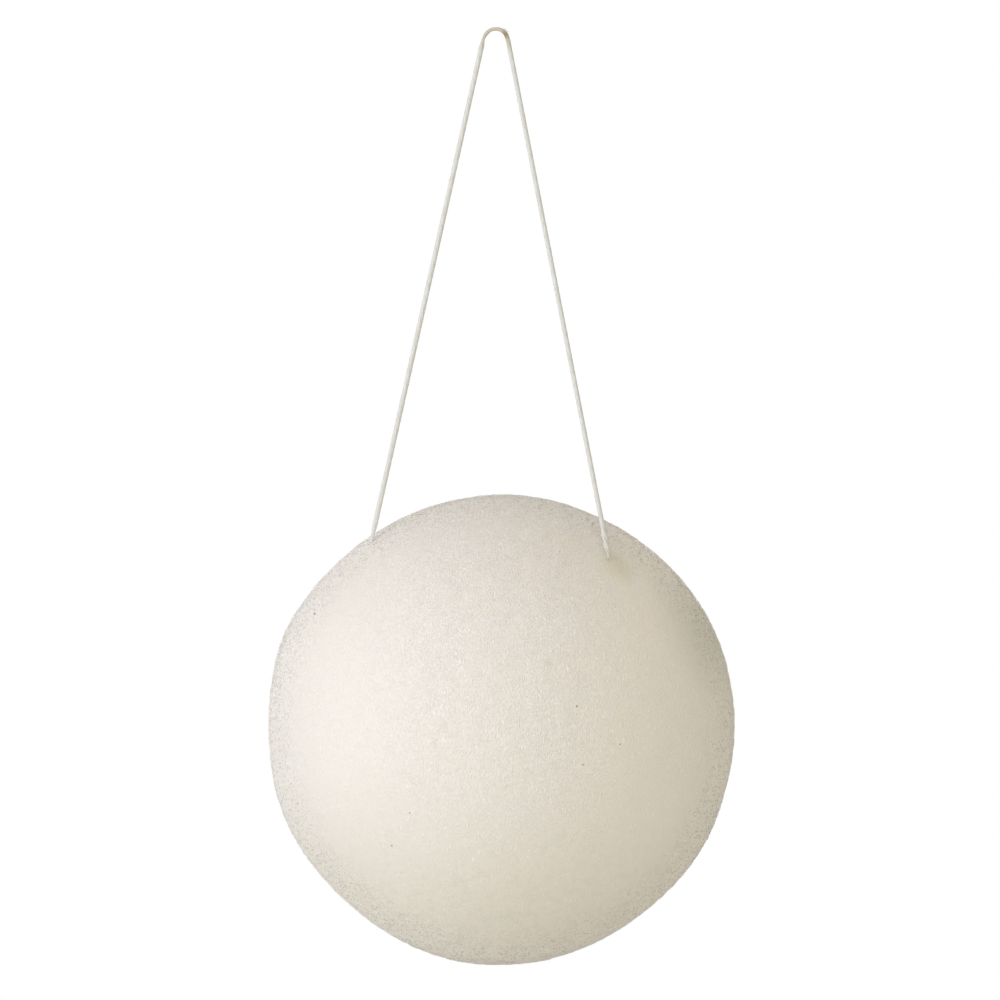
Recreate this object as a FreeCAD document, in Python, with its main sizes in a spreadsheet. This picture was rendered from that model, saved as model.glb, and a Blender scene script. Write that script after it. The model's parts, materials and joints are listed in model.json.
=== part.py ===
import FreeCAD, Part
import math
import os

import Sketcher
from FreeCAD import Placement, Rotation, Vector

# A konjac sponge: a moulded half-ball, hung from a cotton cord that is threaded through it and tied inside.
# The origin is the middle of the hook that the loop hangs on. +Z is up, the dome faces -Y and the flat
# back +Y. Lengths are in millimetres and angles in degrees.

SIZES = {
    # The sponge: a dome that runs into a rounded rim and a flat back.
    "sponge_diameter": 80.0,
    "sponge_depth": 38.0,
    "rim_radius": 7.0,
    # The two mouths of the cord's channel, seen from the front: how far each is turned from the top of the
    # sponge, and how far in from its outline.
    "left_mouth_angle": 35.9,
    "left_mouth_inset": 1.3,
    "right_mouth_angle": 32.6,
    "right_mouth_inset": 6.7,
    # The hanging loop: from the middle of the hook down to the top of the sponge, and how far to the right of
    # the hook the middle of the sponge is, both with the flat back still plumb.
    "cord_diameter": 0.8,
    "hook_radius": 1.8,
    "loop_drop": 76.6,
    "sponge_offset": 1.4,
    # The channel that the cord is threaded through, and the slit at each mouth in which the cord swings.
    "channel_clearance": 0.1,
    "lip_radius": 0.5,
    "slit_height": 2.4,
    # The reef knot, and the pocket that it sits in.
    "threaded_stub": 2.2,
    "knot_gap": 0.1,
    "tail_length": 3.0,
    "pocket_clearance": 0.3,
    "cut_overrun": 5.0,
}

# One half of the reef knot, in pitches of the tied cord: along the channel, to the side and up. The other
# half is this one turned over end to end.
KNOT_POINT_SHARES = [
    (-1.9, 0.5, 0.0),
    (0.0, 1.0, -1.3),
    (1.9, 1.7, 0.0),
    (4.1, 1.7, 1.1),
    (4.1, -1.7, 1.1),
    (1.9, -1.7, 0.0),
    (0.0, -1.0, -1.3),
    (-1.9, -0.5, 0.0),
]
# How much of the shorter run beside a corner its arc takes up.
CORNER_SHARE = 0.45
HALF_TURN = 180.0
FULL_TURN = 360.0
# The sign of each side, a sketch's own axes and origin, and the points of a line or an arc in a sketch.
LEFT, RIGHT = range(-1, 2, 2)
UP_AXIS, ACROSS_AXIS = range(-2, 0)
ORIGIN = ACROSS_AXIS
START, END, CENTRE = range(1, 4)


def add_row(sheet, row, name, value):
    sheet.set(f"A{row}", name)
    sheet.set(f"B{row}", str(value))
    sheet.setAlias(f"B{row}", name)


def make_sheet(doc):
    sheet = doc.addObject("Spreadsheet::Sheet", "Sizes")
    for row, (name, value) in enumerate(SIZES.items(), start=1):
        add_row(sheet, row, name, value)
    doc.recompute()
    return sheet


def dome_radius(size):
    """The radius of the dome that runs smoothly into the rim and gives the sponge its depth."""
    rim = size["rim_radius"]
    flat_radius = size["sponge_diameter"] / 2 - rim
    height = size["sponge_depth"] - rim
    return (flat_radius**2 + height**2 - rim**2) / (2 * (height - rim))


def mouth_place(size, side, angle, inset):
    """Where a mouth is on the dome: across, ahead of the flat back and up from the sponge's axis."""
    dome = dome_radius(size)
    out = size["sponge_diameter"] / 2 - inset
    ahead = size["sponge_depth"] - dome + math.sqrt(dome**2 - out**2)
    turn = math.radians(angle)
    return side * out * math.sin(turn), ahead, out * math.cos(turn)


def lay_out(size):
    """The place of the sponge's back, the frame of the cord's channel, and the sizes that follow from both.

    In the channel's frame X runs along the channel from left to right, with 0 midway, and Z points up to the
    hook. The loop hangs plumb, so the channel passes right below the hook.
    """
    left = mouth_place(size, LEFT, size["left_mouth_angle"], size["left_mouth_inset"])
    right = mouth_place(size, RIGHT, size["right_mouth_angle"], size["right_mouth_inset"])
    lean = (left[1] - right[1]) / (right[0] - left[0])
    back_y = left[1] + (left[0] + size["sponge_offset"]) * lean
    back = Vector(size["sponge_offset"], back_y, -size["loop_drop"] - size["sponge_diameter"] / 2)
    corners = [back + Vector(across, -ahead, up) for across, ahead, up in (left, right)]
    middle = (corners[0] + corners[1]) / 2
    along = (corners[1] - corners[0]).normalize()
    backwards = Vector(0, 0, 1).cross(along).normalize()
    upwards = along.cross(backwards)
    channel = Placement(middle, Rotation(along, backwards, upwards, "XZY"))

    half_span = (corners[1] - corners[0]).Length / 2
    hook_along = -middle.dot(along)
    hook_above = -middle.dot(upwards)
    hook_path_radius = size["hook_radius"] + size["cord_diameter"] / 2
    angles = []
    for side in (LEFT, RIGHT):
        reach = half_span - side * hook_along
        apart = math.hypot(reach, hook_above)
        angles.append(math.degrees(math.atan2(hook_above, reach) + math.asin(hook_path_radius / apart)))
    channel_radius = size["cord_diameter"] / 2 + size["channel_clearance"]
    pitch = size["cord_diameter"] + size["knot_gap"]
    knot_reach = max(
        math.hypot(aside - KNOT_POINT_SHARES[0][1], above) for _, aside, above in KNOT_POINT_SHARES
    )
    derived = {
        "mouth_half_span": half_span,
        "hook_along": hook_along,
        "hook_above": hook_above,
        "hook_path_radius": hook_path_radius,
        "left_leg_angle": angles[0],
        "right_leg_angle": angles[1],
        "channel_radius": channel_radius,
        "bend_radius": size["lip_radius"] + channel_radius,
        "knot_pitch": pitch,
        "pocket_radius": knot_reach * pitch + size["cord_diameter"] / 2 + size["pocket_clearance"],
        "pocket_half_length": (
            -KNOT_POINT_SHARES[-1][0] * pitch + size["tail_length"] + size["pocket_clearance"]
        ),
    }
    return back, channel, derived


def new_sketch(body, name, role):
    """A sketch on one of the body's own origin planes."""
    sketch = body.newObject("Sketcher::SketchObject", name)
    plane = next(p for p in body.Origin.OriginFeatures if p.Role == role)
    sketch.AttachmentSupport = [(plane, "")]
    sketch.MapMode = "FlatFace"
    return sketch


def drive(sketch, name, formula, *constraint):
    """Adds a sized constraint that follows the sheet."""
    index = sketch.addConstraint(Sketcher.Constraint(*constraint))
    sketch.renameConstraint(index, name)
    sketch.setExpression(f"Constraints.{name}", formula)


def hold(sketch, *constraints):
    """Adds constraints that have no size."""
    sketch.addConstraint([Sketcher.Constraint(*c) for c in constraints])


def line(sketch, start, end):
    return sketch.addGeometry(Part.LineSegment(Vector(*start), Vector(*end)))


def arc(sketch, centre, radius, start_angle, end_angle):
    """An arc, anticlockwise from start_angle to end_angle."""
    circle = Part.Circle(Vector(*centre), Vector(0, 0, 1), radius)
    return sketch.addGeometry(Part.ArcOfCircle(circle, math.radians(start_angle), math.radians(end_angle)))


def make_sponge_form(doc, size, back):
    """The moulded half-ball, turned about its own axis."""
    body = doc.addObject("PartDesign::Body", "sponge_form")
    sketch = new_sketch(body, "sponge_profile", "XY_Plane")
    radius = size["sponge_diameter"] / 2
    rim = size["rim_radius"]
    depth = size["sponge_depth"]
    dome_centre = dome_radius(size) - depth
    meeting = math.degrees(math.atan2(-rim - dome_centre, radius - rim))
    flat = line(sketch, (0, 0), (radius - rim, 0))
    rim_arc = arc(sketch, (radius - rim, -rim), rim, meeting, HALF_TURN / 2)
    dome = arc(sketch, (0, dome_centre), dome_radius(size), -HALF_TURN / 2, meeting)
    middle = line(sketch, (0, -depth), (0, 0))
    hold(
        sketch,
        ("Coincident", flat, START, ORIGIN, START),
        ("Horizontal", flat),
        ("Tangent", flat, END, rim_arc, END),
        ("Tangent", rim_arc, START, dome, END),
        ("PointOnObject", dome, CENTRE, UP_AXIS),
        ("Coincident", dome, START, middle, START),
        ("Coincident", middle, END, flat, START),
        ("Vertical", middle),
    )
    drive(sketch, "rim_radius", "Sizes.rim_radius", "Radius", rim_arc, rim)
    drive(
        sketch,
        "flat_radius",
        "Sizes.sponge_diameter / 2 - Sizes.rim_radius",
        "DistanceX",
        flat,
        START,
        flat,
        END,
        radius - rim,
    )
    drive(sketch, "depth", "Sizes.sponge_depth", "DistanceY", middle, START, middle, END, depth)
    turned = body.newObject("PartDesign::Revolution", "half_ball")
    turned.Profile = sketch
    turned.ReferenceAxis = (sketch, ["V_Axis"])
    turned.Angle = FULL_TURN
    body.Placement = Placement(back, Rotation())
    return body


def turn_about_channel(body, sketch, name):
    turned = body.newObject("PartDesign::Revolution", name)
    turned.Profile = sketch
    turned.ReferenceAxis = (sketch, ["H_Axis"])
    turned.Angle = FULL_TURN


def add_bore(body, size):
    """The bore from mouth to mouth, with the coned pocket for the knot in its middle."""
    sketch = new_sketch(body, "bore_profile", "XZ_Plane")
    reach = size["mouth_half_span"] + size["cut_overrun"]
    bore = size["channel_radius"]
    pocket = size["pocket_radius"]
    inner = size["pocket_half_length"]
    outer = inner + pocket - bore
    points = [(-reach, 0), (-reach, bore), (-outer, bore), (-inner, pocket)]
    points += [(-along, up) for along, up in reversed(points)]
    count = len(points)
    edges = [line(sketch, points[i], points[(i + 1) % count]) for i in range(count)]
    left_end, left_bore, left_cone, roof, right_cone, right_bore, right_end, axis = edges
    hold(
        sketch,
        *(("Coincident", edges[i], END, edges[(i + 1) % count], START) for i in range(count)),
        ("PointOnObject", axis, START, ACROSS_AXIS),
        ("Symmetric", axis, START, axis, END, ORIGIN, START),
        ("Symmetric", roof, START, roof, END, UP_AXIS),
        ("Symmetric", left_cone, START, right_cone, END, UP_AXIS),
        ("Vertical", left_end),
        ("Vertical", right_end),
        ("Horizontal", left_bore),
        ("Horizontal", right_bore),
    )
    drive(
        sketch,
        "length",
        "2 * (Sizes.mouth_half_span + Sizes.cut_overrun)",
        "DistanceX",
        axis,
        END,
        axis,
        START,
        2 * reach,
    )
    drive(sketch, "radius", "Sizes.channel_radius", "DistanceY", left_end, START, left_end, END, bore)
    drive(
        sketch,
        "pocket_length",
        "2 * Sizes.pocket_half_length",
        "DistanceX",
        roof,
        START,
        roof,
        END,
        2 * inner,
    )
    rise = "Sizes.pocket_radius - Sizes.channel_radius"
    for name, kind in (("cone_height", "DistanceY"), ("cone_length", "DistanceX")):
        drive(sketch, name, rise, kind, left_cone, START, left_cone, END, pocket - bore)
    turn_about_channel(body, sketch, "bore")


def add_slit(body, size, side):
    """The slit at one mouth that the bent cord sweeps as the sponge swings, with a rounded inner lip."""
    word = "left" if side == LEFT else "right"
    sketch = new_sketch(body, f"{word}_slit_profile", "XZ_Plane")
    angle = size[f"{word}_leg_angle"]
    corner = side * size["mouth_half_span"]
    half_width = size["channel_radius"]
    bend = size["bend_radius"]
    lip = size["lip_radius"]
    height = size["slit_height"]
    cosine = math.cos(math.radians(angle))
    sine = math.sin(math.radians(angle))
    tangent = bend / math.tan(math.radians(angle / 2))

    def at(inwards, up):
        return corner - side * inwards, up

    outer_foot = at(-half_width / sine, 0)
    inner_top = at(half_width / sine + height * cosine / sine, height)
    outer_top = at(
        half_width / sine + height * cosine / sine - 2 * half_width * sine, height + 2 * half_width * cosine
    )
    lip_start = at(tangent - lip * sine, bend + lip * cosine)
    lip_end = at(tangent, half_width)
    axis_foot = at(tangent, 0)

    outer = line(sketch, outer_foot, outer_top)
    top = line(sketch, outer_top, inner_top)
    inner = line(sketch, inner_top, lip_start)
    if side == LEFT:
        lip_arc = arc(sketch, at(tangent, bend), lip, HALF_TURN / 2 + angle, HALF_TURN * 3 / 2)
        lip_from, lip_to = START, END
    else:
        lip_arc = arc(sketch, at(tangent, bend), lip, -HALF_TURN / 2, HALF_TURN / 2 - angle)
        lip_from, lip_to = END, START
    drop = line(sketch, lip_end, axis_foot)
    axis = line(sketch, axis_foot, outer_foot)
    mouth = sketch.addGeometry(Part.Point(Vector(corner, 0, 0)), True)
    hold(
        sketch,
        ("Coincident", outer, END, top, START),
        ("Coincident", top, END, inner, START),
        ("Tangent", inner, END, lip_arc, lip_from),
        ("Coincident", lip_arc, lip_to, drop, START),
        ("Vertical", lip_arc, CENTRE, drop, START),
        ("Vertical", drop),
        ("Coincident", drop, END, axis, START),
        ("PointOnObject", axis, START, ACROSS_AXIS),
        ("Coincident", axis, END, outer, START),
        ("PointOnObject", axis, END, ACROSS_AXIS),
        ("Parallel", outer, inner),
        ("Perpendicular", outer, top),
        ("PointOnObject", mouth, START, ACROSS_AXIS),
    )
    ends = (mouth, START, ORIGIN, START) if side == LEFT else (ORIGIN, START, mouth, START)
    drive(sketch, "mouth", "Sizes.mouth_half_span", "DistanceX", *ends, abs(corner))
    drive(sketch, "width", "2 * Sizes.channel_radius", "Distance", top, 2 * half_width)
    drive(sketch, "off_leg", "Sizes.channel_radius", "Distance", mouth, START, outer, half_width)
    drive(sketch, "lip_radius", "Sizes.lip_radius", "Radius", lip_arc, lip)
    drive(sketch, "lip_height", "Sizes.channel_radius", "DistanceY", drop, END, drop, START, half_width)
    drive(sketch, "height", "Sizes.slit_height", "DistanceY", ORIGIN, START, inner, START, height)
    arms = (axis, END, outer, START) if side == LEFT else (outer, START, axis, END)
    drive(sketch, "leg_angle", f"Sizes.{word}_leg_angle", "Angle", *arms, math.radians(angle))
    turn_about_channel(body, sketch, f"{word}_slit")


def make_channel_form(doc, size, channel):
    """What the cord leaves free in the sponge: the bore, the knot's pocket and the two slits."""
    body = doc.addObject("PartDesign::Body", "channel_form")
    add_bore(body, size)
    add_slit(body, size, LEFT)
    add_slit(body, size, RIGHT)
    body.Placement = channel
    return body


def make_hanging_loop(doc, size, channel):
    """The free stretch of the cord: out of the left mouth, over the hook and down into the right mouth."""
    body = doc.addObject("PartDesign::Body", "hanging_loop")
    sketch = new_sketch(body, "loop_path", "XZ_Plane")
    span = size["mouth_half_span"]
    stub = size["threaded_stub"]
    bend = size["bend_radius"]
    round_hook = size["hook_path_radius"]
    hook = (size["hook_along"], size["hook_above"])
    left_angle = size["left_leg_angle"]
    right_angle = size["right_leg_angle"]
    left_tangent = bend / math.tan(math.radians(left_angle / 2))
    right_tangent = bend / math.tan(math.radians(right_angle / 2))

    def around(centre, radius, angle):
        return (
            centre[0] + radius * math.cos(math.radians(angle)),
            centre[1] + radius * math.sin(math.radians(angle)),
        )

    left_bend_centre = (left_tangent - span, bend)
    right_bend_centre = (span - right_tangent, bend)
    left_normal = HALF_TURN / 2 + left_angle
    right_normal = HALF_TURN / 2 - right_angle

    left_stub = line(sketch, (stub - span, 0), (left_tangent - span, 0))
    left_bend = arc(sketch, left_bend_centre, bend, left_normal, HALF_TURN * 3 / 2)
    left_leg = line(
        sketch, around(left_bend_centre, bend, left_normal), around(hook, round_hook, left_normal)
    )
    bight = arc(sketch, hook, round_hook, right_normal, left_normal)
    right_leg = line(
        sketch, around(hook, round_hook, right_normal), around(right_bend_centre, bend, right_normal)
    )
    right_bend = arc(sketch, right_bend_centre, bend, -HALF_TURN / 2, right_normal)
    right_stub = line(sketch, (span - right_tangent, 0), (span - stub, 0))
    left_mouth = sketch.addGeometry(Part.Point(Vector(-span, 0, 0)), True)
    right_mouth = sketch.addGeometry(Part.Point(Vector(span, 0, 0)), True)
    hold(
        sketch,
        ("PointOnObject", left_stub, START, ACROSS_AXIS),
        ("Horizontal", left_stub),
        ("Tangent", left_stub, END, left_bend, END),
        ("Tangent", left_bend, START, left_leg, START),
        ("Tangent", left_leg, END, bight, END),
        ("Tangent", bight, START, right_leg, START),
        ("Tangent", right_leg, END, right_bend, END),
        ("Tangent", right_bend, START, right_stub, START),
        ("PointOnObject", right_stub, END, ACROSS_AXIS),
        ("Horizontal", right_stub),
        ("PointOnObject", left_mouth, START, ACROSS_AXIS),
        ("PointOnObject", left_mouth, START, left_leg),
        ("PointOnObject", right_mouth, START, ACROSS_AXIS),
        ("PointOnObject", right_mouth, START, right_leg),
    )
    half = "Sizes.mouth_half_span"
    drive(sketch, "left_mouth", half, "DistanceX", left_mouth, START, ORIGIN, START, span)
    drive(sketch, "right_mouth", half, "DistanceX", ORIGIN, START, right_mouth, START, span)
    start = "Sizes.threaded_stub"
    drive(sketch, "left_stub", start, "DistanceX", left_mouth, START, left_stub, START, stub)
    drive(sketch, "right_stub", start, "DistanceX", right_stub, END, right_mouth, START, stub)
    drive(sketch, "left_bend", "Sizes.bend_radius", "Radius", left_bend, bend)
    drive(sketch, "right_bend", "Sizes.bend_radius", "Radius", right_bend, bend)
    drive(sketch, "bight", "Sizes.hook_path_radius", "Radius", bight, round_hook)
    drive(sketch, "hook_along", "Sizes.hook_along", "DistanceX", ORIGIN, START, bight, CENTRE, hook[0])
    drive(sketch, "hook_above", "Sizes.hook_above", "DistanceY", ORIGIN, START, bight, CENTRE, hook[1])

    section = new_sketch(body, "cord_section", "YZ_Plane")
    section.setExpression("AttachmentOffset.Base.z", "Sizes.threaded_stub - Sizes.mouth_half_span")
    ring = section.addGeometry(Part.Circle(Vector(), Vector(0, 0, 1), size["cord_diameter"] / 2))
    hold(section, ("Coincident", ring, CENTRE, ORIGIN, START))
    drive(section, "cord", "Sizes.cord_diameter", "Diameter", ring, size["cord_diameter"])
    doc.recompute()
    tube = body.newObject("PartDesign::AdditivePipe", "loop_tube")
    tube.Profile = section
    tube.Spine = (sketch, [f"Edge{i + 1}" for i in range(len(sketch.Shape.Edges))])
    body.Placement = channel
    print(f"hanging loop: radii {bend:.2f} at the mouths and {round_hook:.2f} over the hook")
    return body, sketch.Shape.Length


def rounded_path(points):
    """A wire along the points, each corner rounded by an arc, and the arcs' radii."""
    edges = []
    radii = []
    reached = points[0]
    for before, corner, after in zip(points, points[1:], points[2:]):
        back = before - corner
        on = after - corner
        tangent = CORNER_SHARE * min(back.Length, on.Length)
        half_turn = (math.pi - back.getAngle(on)) / 2
        radius = tangent / math.tan(half_turn)
        back.normalize()
        on.normalize()
        entry = corner + back * tangent
        leave = corner + on * tangent
        inwards = (back + on).normalize()
        crown = corner + inwards * (radius / math.cos(half_turn) - radius)
        edges.append(Part.LineSegment(reached, entry).toShape())
        edges.append(Part.Arc(entry, crown, leave).toShape())
        radii.append(radius)
        reached = leave
    edges.append(Part.LineSegment(reached, points[-1]).toShape())
    return Part.Wire(edges), radii


def make_cord_end(doc, size, channel, side):
    """One end of the cord: from its mouth along the channel, through half of the knot, to its cut tail."""
    pitch = size["knot_pitch"]
    aside_start = KNOT_POINT_SHARES[0][1]
    knot = [
        Vector(-side * along, aside - aside_start, -side * above) * pitch
        for along, aside, above in KNOT_POINT_SHARES
    ]
    start = Vector(side * (size["mouth_half_span"] - size["threaded_stub"]), 0, 0)
    tail = knot[-1] + Vector(side * size["tail_length"], 0, 0)
    path, radii = rounded_path([start, *knot, tail])
    ring = Part.Circle(start, Vector(1, 0, 0), size["cord_diameter"] / 2)
    name = "left_cord_end" if side == LEFT else "right_cord_end"
    cord = doc.addObject("Part::Feature", name)
    cord.Shape = path.makePipeShell([Part.Wire(ring.toShape())], True, False)
    cord.Placement = channel
    print(f"{name}: radii", ", ".join(f"{radius:.2f}" for radius in radii))
    return cord, path.Length


def make_sponge(doc, form, channel_form, channel):
    """The threaded sponge, turned about its channel until it hangs with its centre of mass right below."""
    sponge = doc.addObject("Part::Cut", "sponge")
    sponge.Base = form
    sponge.Tool = channel_form
    doc.recompute()
    weight = channel.inverse().multVec(sponge.Shape.CenterOfGravity)
    turn = math.degrees(math.atan2(-weight.y, -weight.z))
    about_channel = Placement(Vector(), Rotation(Vector(1, 0, 0), turn))
    sponge.Placement = channel * about_channel * channel.inverse()
    print(f"sponge: hangs turned {turn:.2f} degrees about the channel")
    return sponge


def check(doc, parts):
    for item in doc.Objects:
        if "Invalid" in item.State or "Error" in item.State:
            raise RuntimeError(f"{item.Label} failed: {item.State}")
    for part in parts:
        if part.Shape.isNull() or not part.Shape.isValid() or not part.Shape.Solids:
            raise RuntimeError(f"{part.Label} has no sound solid")


def main():
    doc = FreeCAD.newDocument("konjac_sponge")
    sheet = make_sheet(doc)
    back, channel, derived = lay_out({name: sheet.get(name) for name in SIZES})
    for row, (name, value) in enumerate(derived.items(), start=len(SIZES) + 1):
        add_row(sheet, row, name, value)
    doc.recompute()
    size = {name: sheet.get(name) for name in (*SIZES, *derived)}

    form = make_sponge_form(doc, size, back)
    channel_form = make_channel_form(doc, size, channel)
    sponge = make_sponge(doc, form, channel_form, channel)
    loop, loop_length = make_hanging_loop(doc, size, channel)
    left_end, left_length = make_cord_end(doc, size, channel, LEFT)
    right_end, right_length = make_cord_end(doc, size, channel, RIGHT)
    doc.recompute()

    parts = [sponge, loop, left_end, right_end]
    check(doc, parts)
    section = math.pi * size["cord_diameter"] ** 2 / 4
    for cord, length in ((loop, loop_length), (left_end, left_length), (right_end, right_length)):
        share = cord.Shape.Volume / (section * length)
        print(f"{cord.Label}: {length:.1f} long, volume {share:.4f} of section times length")
    gap = left_end.Shape.distToShape(right_end.Shape)[0]
    print(f"least gap in the knot: {gap:.3f}")
    os.makedirs("parts", exist_ok=True)
    for part in parts:
        part.Shape.exportStep(f"parts/{part.Label}.step")


main()
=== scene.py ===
"""The looks of a half-ball konjac sponge on its cotton cord, in metres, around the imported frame."""

import json
import math
import random

import bmesh
import bpy
import numpy as np
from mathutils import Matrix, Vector, noise


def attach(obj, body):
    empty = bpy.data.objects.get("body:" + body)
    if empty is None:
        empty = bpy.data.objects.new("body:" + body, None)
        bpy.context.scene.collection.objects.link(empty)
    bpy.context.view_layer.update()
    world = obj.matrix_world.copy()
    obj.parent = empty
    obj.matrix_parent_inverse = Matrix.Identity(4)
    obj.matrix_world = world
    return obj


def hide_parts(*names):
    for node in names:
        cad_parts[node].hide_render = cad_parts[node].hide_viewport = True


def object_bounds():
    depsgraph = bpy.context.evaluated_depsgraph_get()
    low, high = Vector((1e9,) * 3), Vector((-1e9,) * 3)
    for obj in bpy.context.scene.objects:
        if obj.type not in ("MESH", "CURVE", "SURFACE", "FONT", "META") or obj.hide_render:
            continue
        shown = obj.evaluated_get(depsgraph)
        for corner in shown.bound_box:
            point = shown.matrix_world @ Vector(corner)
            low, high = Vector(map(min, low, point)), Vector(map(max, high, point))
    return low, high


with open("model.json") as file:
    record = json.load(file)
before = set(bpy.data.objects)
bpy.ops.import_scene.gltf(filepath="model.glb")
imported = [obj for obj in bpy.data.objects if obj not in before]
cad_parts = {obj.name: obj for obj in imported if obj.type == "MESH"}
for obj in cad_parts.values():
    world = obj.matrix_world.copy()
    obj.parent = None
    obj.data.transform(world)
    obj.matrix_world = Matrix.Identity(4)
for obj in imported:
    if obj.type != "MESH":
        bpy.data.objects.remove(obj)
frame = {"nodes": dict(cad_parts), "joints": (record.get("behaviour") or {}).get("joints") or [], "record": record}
cad_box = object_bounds()

# Materials measure places in millimetres.
MILLIMETRES = 1000.0
# Lengths and angles below this are zero.
NEAR_ZERO = 1e-6

# The picture: its width at the object and its middle, and the camera's distance, sensor and reach.
PICTURE_WIDTH = 0.1706
PICTURE_MIDDLE = Vector((0.00071, 0.005, -0.0780))
CAMERA_DISTANCE = 2.4
CAMERA_SENSOR = 36.0
CAMERA_REACH = 20.0

# The cord's way: out of the mouths, up two straight legs and over the hook, across and up from it.
CORD_DIAMETER = 0.0008
STUB_LENGTH = 0.0022
LEG_START = 0.0022
CORNER_DROP = 0.0006
BIGHT_POINTS = [(-0.00203, 0.00100), (-0.00095, 0.00214), (0.00070, 0.00224), (0.00188, 0.00125)]
BIGHT_CLEARANCE = 0.0020
# The smooth line through the control points of a route.
CURVE_ORDER = 3
CURVE_RESOLUTION = 48

# The cord's strands and yarns, and where it is thin or thick along its way.
STRANDS = 3
STRAND_LAY = 0.0063
STRAND_REACH = 0.00012
STRAND_DEPTH = 0.00028
STRAND_WIDTH = 0.00033
STRAND_SIDES = 12
YARNS = 5
YARN_LAY = 0.0017
YARN_RELIEF = 0.04
RING_STEP = 0.0002
NECK_SHARE = 0.55
NECK_START = 0.0024
NECK_END = 0.0056
# Places from the top of the bight, half lengths and shares by which the cord is thicker there.
BIGHT_SWELLS = [(-0.0029, 0.0008, -0.35), (-0.0006, 0.0020, -0.22), (0.0026, 0.0010, -0.05)]
LEFT_LEG_SWELL = 0.09
# How much further the strands stand apart next to the right mouth, and along what length.
ROPE_RELIEF = 0.8
ROPE_LENGTH = 0.010

# Loose fibres of the cotton, each from a root inside the cord, along it, out of it and thinner to its end.
FIBRES = 70
FIBRE_RADIUS = 0.000011
FIBRE_LENGTHS = (0.0004, 0.0010)
FIBRE_SIDES = 4
FIBRE_STEPS = 6
FIBRE_SEED = 5
FIBRE_ROOT = 0.36
FIBRE_ALONG = 0.8
FIBRE_LIFT = 0.4
FIBRE_BEND = 0.6
FIBRE_TAPER = 0.6
# A tuft of thicker fibres beside the top of the bight.
TUFT_PLACE = 0.0017
TUFT_SCATTER = 2
TUFT_FIBRES = 7
TUFT_THICKNESS = 2.2
TUFT_TURN = 0.5

# The reef knot's one half, in pitches of the tied cord: along the channel, to the side and up.
KNOT_POINT_SHARES = [
    (-1.9, 0.5, 0.0),
    (0.0, 1.0, -1.3),
    (1.9, 1.7, 0.0),
    (4.1, 1.7, 1.1),
    (4.1, -1.7, 1.1),
    (1.9, -1.7, 0.0),
    (0.0, -1.0, -1.3),
    (-1.9, -0.5, 0.0),
]
KNOT_PITCH = 0.0009
TAIL_LENGTH = 0.003

# The sponge's skin: faces along a patch, steps of its profile, and rounds that find a point of its front.
PATCH_FACES = 112
PROFILE_STEPS = 3000
FRONT_ROUNDS = 12
# The power by which swells fade towards the middle.
SWELL_POWER = 4
# Swells of the outline: angle from the right, height and half width in degrees.
RIM_SWELLS = [
    (30, 0.00050, 24),
    (84, 0.00042, 22),
    (155, 0.00046, 11),
    (182, -0.00050, 14),
    (225, -0.00070, 20),
    (262, 0.00016, 14),
    (308, -0.00040, 18),
    (344, -0.00020, 9),
]
# Its lumps and its grain.
LUMP_SPACING = 0.009
LUMP_HEIGHT = 0.00010
LUMP_SEED = 3.1
GRAIN_SPACING = 0.0013
GRAIN_HEIGHT = 0.000030
GRAIN_SEED = 7.7
FINE_GRAIN_SHARE = 0.5
FINE_GRAIN_SEED = 1.3
# The angle to either side of the outline over which the skin is coarser.
EDGE_ANGLE = math.radians(16)
EDGE_GRAIN_SPACING = 0.0009
EDGE_GRAIN_HEIGHT = 0.00010
EDGE_GRAIN_SEED = 4.4
# How far the middle of the flat back sinks in.
BACK_SAG = 0.0005
# How far the skin rises round the cord at each mouth.
MOUTH_LIFTS = {-1: 0.00012, 1: 0.00035}
LIFT_RADIUS = 0.0030
# The cord's tight way in at each mouth, then its channel and the pocket for its knot.
ENTRY_RADIUS = 0.00020
ENTRY_LENGTH = 0.006
CHANNEL_RADIUS = 0.00052
POCKET_RADIUS = 0.0030
POCKET_HALF_LENGTH = 0.0051
CHANNEL_SIDES = 40
# Round each mouth the faces are halved within these shares of a radius.
REFINED_RADIUS = 0.0035
REFINED_SHARES = (1.0, 0.7)

# The gel's colours, from its pores to its pale flecks, with the painted shade and painted glints that tint it.
GEL_DEEP = (0.76, 0.70, 0.605, 1.0)
GEL_PALE = (0.93, 0.885, 0.815, 1.0)
GEL_WET = (0.845, 0.785, 0.69, 1.0)
FLECK_AND_GLINT_COLOUR = (0.97, 0.925, 0.865, 1.0)
PAINTED_GLINT_COLOUR = (0.99, 0.97, 0.94, 1.0)
PORE_COLOUR = (0.42, 0.37, 0.32, 1.0)
RIM_SHADE_COLOUR = (0.54, 0.50, 0.45, 1.0)
LOW_SHADE_COLOUR = (0.76, 0.70, 0.53, 1.0)
SPECK_COLOUR = (0.26, 0.15, 0.07, 1.0)
HALO_COLOUR = (0.69, 0.63, 0.42, 1.0)
SHADE_COLOUR = (0.58, 0.54, 0.46, 1.0)
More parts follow.
